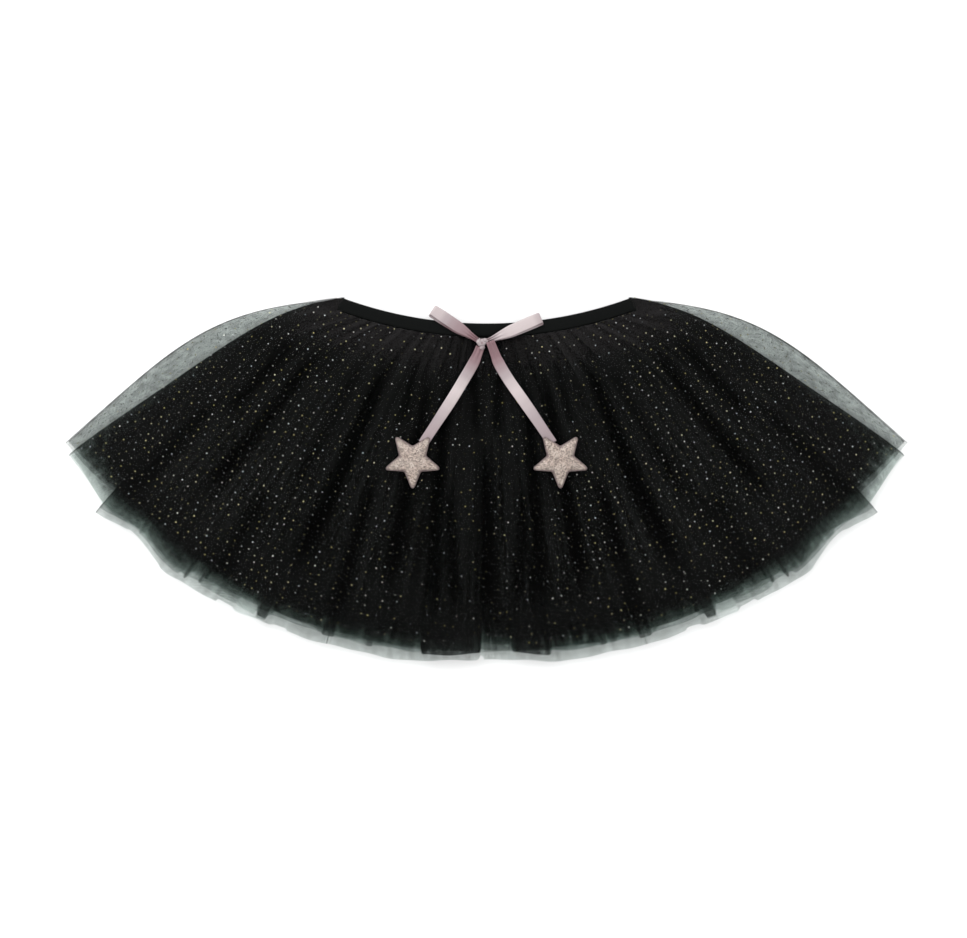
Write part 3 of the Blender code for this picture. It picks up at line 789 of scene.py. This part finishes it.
def closed_grid(around, along, place, size, layers=()):
    """A closed form with a pole at each end. place() gives a point from round and down, both 0 to 1."""
    mesh_data = cloth_grid(around, along, lambda across, down: place((across + 1) / 2, down), size, layers)
    bmesh.ops.remove_doubles(mesh_data, verts=mesh_data.verts, dist=1e-6)
    bmesh.ops.recalc_face_normals(mesh_data, faces=mesh_data.faces)
    return mesh_data


def catmull(points, share):
    """A point on the smooth line through points, share of the way along it."""
    spans = len(points) - 1
    span = min(int(share * spans), spans - 1)
    local = share * spans - span
    p1, p2 = Vector(points[span]), Vector(points[span + 1])
    p0 = Vector(points[span - 1]) if span else 2 * p1 - p2
    p3 = Vector(points[span + 2]) if span + 2 <= spans else 2 * p2 - p1
    return 0.5 * (
        2 * p1
        + (p2 - p0) * local
        + (2 * p0 - 5 * p1 + 4 * p2 - p3) * local**2
        + (3 * p1 - p0 - 3 * p2 + p3) * local**3
    )


def table_value(values, share):
    """A value between those of a table at even steps, a share of the way along it."""
    place = share * (len(values) - 1)
    step = min(int(place), len(values) - 2)
    return mix(values[step], values[step + 1], smooth(place - step))


def seam_gathers(sheet):
    """The small gathers under the waist seam, uneven in place, width, depth and length."""
    dice = Random(sheet.seed)
    pleats = []
    for order in range(sheet.gathers):
        centre = GATHERS_REACH * (order + 0.5 + dice.uniform(-GATHER_STRAY, GATHER_STRAY)) / sheet.gathers
        half_width = GATHERS_REACH * dice.uniform(*GATHER_HALF_WIDTH) / sheet.gathers
        strength = dice.uniform(*GATHER_STRENGTH)
        pleats.append(Pleat(centre, half_width, strength, BEFORE_SEAM, dice.uniform(*GATHER_STOP)))
    return pleats


def crimp(pleats, across, share):
    """Where a point of the cut lies across its panel once the pleats are laid, and its height in them."""
    place, rise = abs(across), 0.0
    for pleat in pleats:
        t = (abs(across) - pleat.centre) / pleat.half_width
        if abs(t) >= 1:
            continue
        grown = smooth((share - pleat.start) / PLEAT_FADE) * smooth((pleat.end - share) / PLEAT_FADE)
        place -= grown * pleat.strength * pleat.half_width * t * (1 - t * t) ** 2
        rise += min(grown * pleat.strength, 1.0) * ramp(t, *PLEAT_RISE) * (1 - ramp(t, *PLEAT_FALL))
    return copysign(min(max(place, 0.0), 1.0), across), rise


def tab_share(tab, aside):
    """1 inside a stretch of the hem and 0 outside, with crisp ends."""
    if tab.half == "both":
        aside = abs(aside)
    elif tab.half == "left":
        aside = -aside
    return smooth((aside - tab.start) / TAB_EDGE + 0.5) * smooth((tab.end - aside) / TAB_EDGE + 0.5)


def painted_fold_shade(across, angle, radius):
    """The painted light and shade of a front panel: painted light on its ridges and painted shade in its folds
    and gathers.
    """
    lowered = mix(1.0, MIDDLE_RIDGE, smooth(from_waist(angle, radius) / MIDDLE_REACH))
    tone = ridge(angle, radius) ** RIDGE_CONTRAST * mix(lowered, 1.0, smooth(abs(angle) / SIDE_ANGLE))
    at_waist = 1 - smooth(from_waist(angle, radius) / GATHER_SHADE_REACH)
    return tone * (1 - GATHER_SHADE * at_waist * wave(across, GATHERS))


def net_placer(sheet):
    """Gives the function that lays out one net sheet."""
    tube = TUBES[sheet.index]
    name = f"{tube.name}_{sheet.panel}"
    height = front_height if sheet.panel == "front" else back_height
    pleats = seam_gathers(sheet) + list(HEM_PLEATS[name])
    tabs = HEM_TABS[name]
    phase = sheet.seed * PHASE_STEP

    def place(cut_across, down):
        share = down**ROW_CROWDING
        across, rise = crimp(pleats, cut_across, share)
        swing = fold_swing(tube, share)
        scallop = sum(sway(cut_across, 0, high, pace, turns * phase) for high, pace, turns in SCALLOPS)
        hem = hem_radius(tube, sheet.panel, across) - sheet.shorter
        hem += scallop * (1 - cut_across**SCALLOP_FADE)
        tips = smooth((abs(across) * tube.tip - TIP_ANGLE) / TIP_SPREAD)
        edge_plies = mix(sheet.hem_plies, sheet.tip_plies, tips)
        for tab in tabs:
            inside = tab_share(tab, across * tube.tip)
            hem -= tab.shorter * inside
            edge_plies = mix(edge_plies, tab.plies, inside)
        crumple = CRUMPLE_DEPTH * ramp(abs(across), *CRUMPLE_SIDES) * sin(CRUMPLES * cut_across + phase)
        crumple *= 1 - smooth(share / CRUMPLE_REACH)
        slope = SHOULDER_DROP * ramp(abs(across), CORNER_SHARE, 1)
        angle = across * swing
        radius = mix(net_top(across, share) + slope, hem, share) + crumple
        inwards = smooth((hem - radius) / sheet.thickens)
        plies = mix(edge_plies, max(sheet.body_plies, edge_plies), inwards)
        from_fold = (1 - abs(across)) * swing * radius
        if sheet.index:
            deep = smooth((hem - radius - DEEP_FROM_HEM[0]) / DEEP_FROM_HEM[1])
            plies += DEEP_PLIES * deep * smooth((from_fold - DEEP_FROM_FOLD[0]) / DEEP_FROM_FOLD[1])
            plies /= mix(1.0, min(radius * swing / (NET_CUTS[sheet.index].x / 2), 1.0), inwards)
        clear_of_seam = smooth((from_waist(angle, radius) - SEAM_BUNCHING[0]) / SEAM_BUNCHING[1])
        beyond_band = ramp(degrees(abs(angle)), *BUNCHING_ENDS)
        plies = mix(SEAM_PLIES, plies, max(clear_of_seam, beyond_band))
        if from_fold < FOLD_ROLL:
            plies = max(plies, FOLD_PLIES)
        base = height(sheet.index, angle, radius) + WALL / 2
        # Painted light and shade: painted shade in the front's folds and gathers, an even painted tone on the
        # back, and more painted light on the net bunched below the waistband's sides, less in its folds
        tone = painted_fold_shade(across, angle, radius) if sheet.panel == "front" else BACK_TONE
        bunched = 1 - smooth(from_waist(angle, radius) / WAIST_LIGHT_REACH)
        bunched *= smooth(abs(angle) / WAIST_LIGHT_ANGLE) * mix(WAIST_LIGHT_IN_FOLDS, 1.0, tone)
        lift = RIDGE_LIGHT * tone + WAIST_LIGHT * bunched
        return at(angle, radius, base + PLEAT_HEIGHT * rise), {"plies": plies, "lift": lift, "tone": tone}

    return place


def net_sheet(sheet, material, slot):
    """One panel of a net tube as a single thin sheet."""
    tube = TUBES[sheet.index]
    name = f"{tube.name}_{sheet.panel}"
    cut = NET_CUTS[sheet.index]
    tulle = cloth_grid(sheet.columns, NET_ROWS, net_placer(sheet), cut, ("plies", "lift"))
    return make_piece(f"{name}_tulle", tulle, material, slot, name)


def glitter_dots(sheet, material):
    """Foil dots all over a panel of the outer net, one small six-sided flake each."""
    dice = Random(sheet.seed + 100)
    place = net_placer(sheet)
    tube = TUBES[sheet.index]
    outwards = 1 if sheet.panel == "front" else -1
    first, last = DOT_MARGINS[0] / SKIRT_LENGTH, 1 - DOT_MARGINS[1] / SKIRT_LENGTH
    all_rows = bmesh.new()
    row_mesh = bpy.data.meshes.new("row_of_dots")
    down, order = first, 0
    while down < last:
        row = bmesh.new()
        tone = row.loops.layers.float_color.new("foil")
        share = down**ROW_CROWDING
        swing = fold_swing(tube, share)
        opened = smooth(down * SKIRT_LENGTH / DOT_OPENING)
        count = int(2 * mix(WAIST_RADIUS, HEM_REACH, share) * swing / DOT_SPACING)
        for column in range(count):
            shift = 0.5 * (order % 2) + dice.uniform(-DOT_SCATTER, DOT_SCATTER)
            across = -1 + 2 * (column + 0.5 + shift) / count
            along = down + dice.uniform(-DOT_SCATTER, DOT_SCATTER) * DOT_SPACING / SKIRT_LENGTH
            to_side = smooth(abs(across) * swing / SIDE_ANGLE)
            showing = mix(*DOTS_SHOWING, to_side) * mix(DOTS_SHOWING_AT_WAIST, 1.0, max(opened, to_side))
            if abs(across) > DOT_SIDE_LIMIT or dice.random() > showing:
                continue
            spot, values = place(across, min(max(along, first), last))
            spot.z += outwards * DOT_HEIGHT
            lie = Matrix.Translation(spot)
            lie @= Matrix.Rotation(dice.uniform(-DOT_TILT, DOT_TILT), 4, "X")
            lie @= Matrix.Rotation(dice.uniform(-DOT_TILT, DOT_TILT), 4, "Y")
            lie @= Matrix.Rotation(dice.uniform(0, pi), 4, "Z")
            size = dice.uniform(*DOT_RADIUS)
            dot = bmesh.ops.create_circle(row, cap_ends=True, segments=6, radius=size, matrix=lie)
            # Painted glint by chance and painted shade in the net's folds, put into the foil's colour
            painted_glint_and_shade = dice.uniform(*DOT_GLINTS) ** DOT_GLINT_SKEW
            painted_glint_and_shade *= mix(*DOTS_FOLD_SHADE, values["tone"] ** DOTS_FOLD_SHADE_SKEW)
            code = dice.choice(GOLD_FOILS if dice.random() < GOLD_SHARE else SILVER_FOILS)
            colour = [painted_glint_and_shade * channel for channel in linear(code)[:3]]
            for corner in dot["verts"][0].link_faces[0].loops:
                corner[tone] = (*colour, 1.0)
        row.to_mesh(row_mesh)
        row.free()
        all_rows.from_mesh(row_mesh)
        down += DOT_SPACING * DOT_ROW_SHARE / SKIRT_LENGTH
        order += 1
    bpy.data.meshes.remove(row_mesh)
    return make_piece(f"{tube.name}_{sheet.panel}_dots", all_rows, material, "glitter_net")


def band_half(panel, material):
    """Half of the elastic waistband in its jersey casing, puckered a little by its stretch."""
    base = 0.0 if panel == "back" else BAND_THICKNESS + SEAM_GAP
    length = 2 * BAND_HALF_ANGLE * (WAIST_RADIUS + WAIST_SIDE_RISE / 3)

    def place(round_share, down):
        along = 2 * down - 1
        closing = min((1 - abs(along)) / BAND_END_ROUNDING, 1.0)
        full = (1 - (1 - closing) ** 2) ** 0.5
        turn = 2 * pi * round_share
        out, up = cos(turn), sin(turn)
        boxy = (abs(out) ** BAND_SQUARENESS + abs(up) ** BAND_SQUARENESS) ** (-1 / BAND_SQUARENESS)
        ripple = sway(down, 0.5, 0.5, 2 * pi * PUCKERS, sway(down, *PUCKER_SWAY))
        pucker = 1 - PUCKER_DEPTH * ripple * max(up, 0)
        angle = along * (BAND_HALF_ANGLE + BAND_TUCK)
        radius = top_radius(angle) + BAND_HEIGHT / 2 - out * boxy * full * BAND_HEIGHT / 2
        rise = base + BAND_THICKNESS / 2 * (1 + up * boxy * full * pucker)
        return at(angle, radius, rise), {}

    size = Vector((2 * (BAND_HEIGHT + BAND_THICKNESS), length))
    casing = closed_grid(28, 220, place, size)
    piece = make_piece(f"waistband_{panel}_casing", casing, material, "waistband", f"waistband_{panel}")
    return piece


def top_of(node):
    """The upper faces of a solid, to lay a piece along it."""
    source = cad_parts[node]
    corners = [source.matrix_world @ vertex.co for vertex in source.data.vertices]
    tree = BVHTree.FromPolygons(corners, [face.vertices[:] for face in source.data.polygons])
    low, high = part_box(node)

    def height(x, y):
        hit = tree.ray_cast(Vector((x, y, high.z + 0.01)), DOWN)[0]
        return hit.z if hit else None

    return height


def knot_pinch(gone, across, reach, depth, pace):
    """Height of the creases that the knot presses into a ribbon."""
    return depth * (1 - smooth(gone / reach)) * cos(pace * pi * across)


def ribbon_piece(name, node, columns, rows, place, length, material):
    """A length of satin ribbon with its thickness."""
    cloth = cloth_grid(columns, rows, place, Vector((RIBBON_WIDTH, length)), ("tight",))
    piece = make_piece(name, cloth, material, "satin_ribbon", node)
    wall = piece.modifiers.new("cloth_thickness", "SOLIDIFY")
    wall.thickness = RIBBON_THICKNESS
    wall.offset = 0.0
    return piece


def ribbon_tail(side, material):
    """A tail of the bow that lies over the skirt, from the knot to behind its star."""
    mirror = -1 if side == "left" else 1
    top = top_of(f"ribbon_tail_{side}")
    knot_low, knot_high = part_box("bow_knot")
    start_height = mix(knot_low.z, knot_high.z, TAIL_STARTS[side].z)
    stations = [Vector((TAIL_STARTS[side].x, TAIL_STARTS[side].y, start_height))]
    for step in range(1, TAIL_STATIONS + 1):
        spot = catmull(TAIL_POINTS[side], step / TAIL_STATIONS)
        stations.append(Vector((spot.x, spot.y, top(spot.x, spot.y) or stations[-1].z)))
    stations.append(stations[-1] + (stations[-1] - stations[-2]).normalized() * TAIL_UNDER_STAR)
    stations[-1].z = stations[-2].z
    length = sum((after - before).length for before, after in zip(stations, stations[1:]))

    def place(across, down):
        middle = catmull(stations, down)
        ahead, behind = min(down + TAIL_STRIDE, 1.0), max(down - TAIL_STRIDE, 0.0)
        along = catmull(stations, ahead) - catmull(stations, behind)
        beside = Vector((-along.y, along.x, 0)).normalized()
        width = RIBBON_WIDTH * mix(TAIL_AT_KNOT, 1.0, smooth(down / TAIL_OPENED))
        width *= mix(1.0, TAIL_AT_STAR, ramp(down, *TAIL_NARROWS))
        roll = mirror * (sway(down, *TAIL_ROLL) + TAIL_ROLL_AT_KNOT * (1 - smooth(down / TAIL_UNROLLED)))
        crown = RIBBON_CROWN * (1 - across * across)
        lifted = crown + sway(down, *TAIL_CURL) + knot_pinch(down, across, *TAIL_PINCH)
        rise = across * width / 2 * roll + lifted - TAIL_SINK
        tight = table_value(TAIL_TONES, down)
        return middle + beside * across * width / 2 + Vector((0, 0, rise)), {"tight": tight}

    piece = ribbon_piece(f"bow_tail_{side}", f"ribbon_tail_{side}", 12, 80, place, length, material)
    return piece


def ribbon_loop(loop, material):
    """A loop of the bow, which leaves the knot, turns back at its end and returns under itself."""
    front = Vector((cos(radians(loop.angle)), sin(radians(loop.angle)), 0))
    back = Vector((cos(radians(loop.back_angle)), sin(radians(loop.back_angle)), 0))
    low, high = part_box(f"bow_loop_{loop.side}")
    root = KNOT_SIZE.x / 2 / abs(front.x) * LOOP_ROOT
    start = Vector((KNOT.x, KNOT.y, 0)) + front * root
    middle_height = (low.z + high.z) / 2
    straight = loop.length - root - LOOP_TURN
    path = 2 * straight + pi * LOOP_TURN

    def place(across, down):
        gone = down * path
        if gone < straight:
            out, up = gone, LOOP_TURN
        elif gone < straight + pi * LOOP_TURN:
            swing = (gone - straight) / LOOP_TURN
            out, up = straight + LOOP_TURN * sin(swing), LOOP_TURN * cos(swing)
        else:
            out, up = path - gone, -LOOP_TURN
        far = out / straight
        returning = smooth((gone - straight) / (pi * LOOP_TURN))
        direction = (front * (1 - returning) + back * returning).normalized()
        beside = Vector((-direction.y, direction.x, 0))
        width = RIBBON_WIDTH * mix(LOOP_AT_KNOT, 1.0, smooth(far / LOOP_OPENED))
        width *= mix(1.0, LOOP_AT_END, ramp(far, *LOOP_NARROWS))
        puff = LOOP_PUFF * sin(pi * min(far, 1.0)) * (1 if up > 0 else LOOP_PUFF_BELOW)
        crown = RIBBON_CROWN * (1 - across * across) * (1 if up > 0 else 0)
        lifted = up + puff + knot_pinch(far, across, *LOOP_PINCH) + crown
        lie = start + direction * out + beside * across * width / 2
        # The under ply is given more painted shade
        tight = table_value(LOOP_TONES[loop.side], min(max(far, 0.0), 1.0)) + LOOP_UNDER_TONE * returning
        return Vector((lie.x, lie.y, middle_height + lifted)), {"tight": min(tight, 1.0)}

    node = f"bow_loop_{loop.side}"
    piece = ribbon_piece(f"{node}_satin", node, 14, 140, place, path, material)
    return piece


def bow_knot(material):
    """The knot: ribbon pulled tightly across the bow's middle, crumpled into a few creased lobes, each with
    its own painted shade.
    """
    low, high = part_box("bow_knot")
    centre, size = (low + high) / 2, (high - low) / 2
    lobe_mesh = bpy.data.meshes.new("lobe")
    knot = bmesh.new()
    for order, lobe in enumerate(KNOT_LOBES):
        middle = centre + lobe.middle * size
        aim = Matrix.Rotation(radians(lobe.turn), 3, "Z")

        def place(round_share, down, lobe=lobe, order=order, middle=middle, aim=aim):
            along = 2 * down - 1
            turn = 2 * pi * round_share
            reach = (1 - abs(along) ** LOBE_ROUNDNESS) ** 0.5 * (1 - LOBE_WAIST * (1 - cos(2 * pi * along)))
            reach *= 1 + sum(
                depth * sin(count * turn + drift * along + step * order)
                for depth, count, drift, step in LOBE_CREASES
            )
            twisted = turn + LOBE_TWIST * along
            half = size * lobe.half_size
            spot = Vector((along * half.x, reach * cos(twisted) * half.y, reach * sin(twisted) * half.z))
            lie = middle + aim @ spot
            lie.z = min(max(lie.z, low.z), high.z)
            return lie, {"tight": lobe.tight}

        form = closed_grid(40, 26, place, Vector((0.020, 0.010)), ("tight",))
        form.to_mesh(lobe_mesh)
        form.free()
        knot.from_mesh(lobe_mesh)
    bpy.data.meshes.remove(lobe_mesh)
    piece = make_piece("bow_knot_satin", knot, material, "satin_ribbon", "bow_knot")
    return piece


def star_reach(turn):
    """Distance from a star's middle to its edge, with soft points, as a share of a sharp point's distance."""
    rise, run = STAR_NOTCH * sin(pi / 5), 1 - STAR_NOTCH * cos(pi / 5)
    total = 0.0
    for tap in range(STAR_TAPS):
        off = turn + mix(-STAR_SOFTNESS, STAR_SOFTNESS, tap / (STAR_TAPS - 1))
        folded = abs((off + pi / 5) % (2 * pi / 5) - pi / 5)
        total += rise / (cos(folded) * rise + sin(folded) * run)
    return total / STAR_TAPS


def star(side, material):
    """A stuffed star, sewn round its edge, one point down."""
    low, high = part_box(f"star_{side}")
    centre = STAR_CENTRES[side]
    thickness = high.z - low.z
    full = star_reach(0.0)

    def place(round_share, down):
        turn = 2 * pi * round_share
        edge = STAR_RADIUS * star_reach(turn + pi / 2) / full
        if down < STAR_SEAM_DOWN:
            share = down / STAR_SEAM_DOWN
            rise = mix(STAR_SEAM_HEIGHT, 1.0, (1 - share ** STAR_FRONT[0]) ** STAR_FRONT[1])
        else:
            share = (1 - down) / (1 - STAR_SEAM_DOWN)
            rise = STAR_SEAM_HEIGHT * (1 - (1 - share ** STAR_BACK[0]) ** STAR_BACK[1])
        reach = edge * share * (1 + STAR_LIP * smooth(1 - abs(down - STAR_SEAM_DOWN) / STAR_LIP_REACH))
        spot = centre + Vector((cos(turn), sin(turn))) * reach
        # The sewn edge is darkened: the seam itself, and painted shade where the edge rounds over
        sewn = smooth(1 - (1 - share) * edge / STAR_SEWN_WIDTH)
        return Vector((spot.x, spot.y, low.z + thickness * rise)), {"seam": STAR_SEWN_TONE * sewn}

    form = closed_grid(200, 64, place, STAR_CUT, ("seam",))
    piece = make_piece(f"star_{side}_pad", form, material, "star_cloth", f"star_{side}")
    return piece


# A net's second colour is the painted light on its ridges
plain_tulle = nylon_tulle("black_tulle", (0.958, 1.0, 0.984, 1.0), "#070707", "#2a2b2a")
glitter_tulle = nylon_tulle("black_glitter_tulle", (0.974, 1.0, 0.990, 1.0), "#070707", "#2c2b2b")
foil = glitter_foil()
satin = satin_ribbon()

for sheet in SHEETS:
    if sheet.index == 0:
        tulle = net_sheet(sheet, glitter_tulle, "glitter_net")
        dots = glitter_dots(sheet, foil)
    else:
        tulle = net_sheet(sheet, plain_tulle, "plain_net")

jersey = black_jersey()
for half in ("back", "front"):
    band_half(half, jersey)
bow_knot(satin)
for bow_loop in LOOPS:
    ribbon_loop(bow_loop, satin)
star_cloth = glitter_cloth()
for hand in ("left", "right"):
    ribbon_tail(hand, satin)
    star(hand, star_cloth)

# The floor is 0.3 mm below the skirt's flat underside, so that the two don't share a plane
just_below = Matrix.Translation((0, 0, -0.0003))
floor_data = bmesh.new()
bmesh.ops.create_grid(floor_data, x_segments=1, y_segments=1, size=4.0, matrix=just_below)
floor = put_in_scene("floor", finished_mesh("floor", floor_data, paper_floor()))

scene = bpy.context.scene
world = bpy.data.worlds.new("studio")
scene.world = world
world.use_nodes = True
background = world.node_tree.nodes["Background"]
background.inputs["Color"].default_value = (1.0, 1.0, 1.0, 1.0)
background.inputs["Strength"].default_value = 1.12

softbox_data = bpy.data.lights.new("softbox", "AREA")
softbox_data.shape = "RECTANGLE"
softbox_data.size = 1.2
softbox_data.size_y = 0.8
softbox_data.energy = 20.0
softbox = put_in_scene("softbox", softbox_data)
softbox.location = (-0.55, 1.35, 1.25)
softbox.rotation_euler = (Vector((0, 0, 0)) - softbox.location).to_track_quat("-Z", "Y").to_euler()

camera_data = bpy.data.cameras.new("camera")
camera_data.lens = 85
camera_data.sensor_width = 36
camera_data.clip_end = 20
camera = put_in_scene("camera", camera_data)
camera.location = (-0.0027, 0.0086, 2.05)
scene.camera = camera

scene.view_settings.view_transform = "Standard"
# Enough for a ray to pass all the plies of net
scene.cycles.transparent_max_bounces = 40
